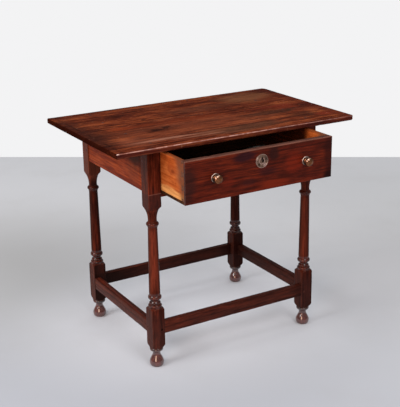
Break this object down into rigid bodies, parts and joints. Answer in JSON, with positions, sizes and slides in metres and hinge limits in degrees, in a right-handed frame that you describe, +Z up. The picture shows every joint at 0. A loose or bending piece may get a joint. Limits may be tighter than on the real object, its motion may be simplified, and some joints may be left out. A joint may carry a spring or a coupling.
{
  "type": "tavern table",
  "caption": "Small joined tavern table: turned legs on box stretchers, pegged plank top, and a dovetailed drawer with brass knobs, keyhole plate and a lock that bolts up into the top.",
  "frame": {"origin": "on the floor, at the crossing of the diagonals between the four leg centres", "axes": "+X along the table's length to the right as seen from the drawer side, +Y towards the back, +Z up; the drawer pulls out along -Y"},
  "size_m": [0.838, 0.6424, 0.711],
  "materials": {
    "top_wood": "worn dark red-brown polish over long grain",
    "frame_wood": "dark red-brown polish, rubbed lighter on edges and turnings",
    "drawer_front_wood": "dark red polish with worn arrises",
    "drawer_wood": "unpolished honey-coloured softwood, grimy near the front",
    "inner_wood": "unpolished, dry",
    "peg_wood": "end grain, polished over",
    "brass": "old brass, bright where it is handled",
    "iron": "forged and darkened"
  },
  "bodies": {
    "table": {"top_board_front": "top_wood", "top_board_rear": "top_wood", "leg_front_left": "frame_wood", "leg_front_right": "frame_wood", "leg_rear_left": "frame_wood", "leg_rear_right": "frame_wood", "side_apron_left": "frame_wood", "side_apron_right": "frame_wood", "rear_apron": "frame_wood", "drawer_rail": "frame_wood", "stretcher_left": "frame_wood", "stretcher_right": "frame_wood", "stretcher_front": "frame_wood", "stretcher_rear": "frame_wood", "apron_pegs": "peg_wood", "stretcher_pegs": "peg_wood", "top_pegs": "peg_wood", "drawer_runner_left": "inner_wood", "drawer_runner_right": "inner_wood", "drawer_guide_left": "inner_wood", "drawer_guide_right": "inner_wood", "drawer_stop_left": "inner_wood", "drawer_stop_right": "inner_wood", "runner_nails": "iron"},
    "drawer": {"drawer_front": "drawer_front_wood", "drawer_side_left": "drawer_wood", "drawer_side_right": "drawer_wood", "drawer_back": "drawer_wood", "drawer_bottom_front": "drawer_wood", "drawer_bottom_middle": "drawer_wood", "drawer_bottom_rear": "drawer_wood", "knobs": "brass", "knob_roses": "brass", "escutcheon": "brass", "escutcheon_pins": "brass", "knob_washers": "iron", "drawer_bottom_nails": "iron", "lock_case": "iron", "lock_nails": "iron"},
    "bolt": {"lock_bolt": "iron"}
  },
  "joints": [
    {"name": "drawer_slide", "type": "slide", "parent": "table", "child": "drawer", "axis": [0, -1, 0], "range_m": [-0.14, 0.17]},
    {"name": "bolt_slide", "type": "slide", "parent": "drawer", "child": "bolt", "axis": [0, 0, 1], "range_m": [0, 0.01]}
  ]
}
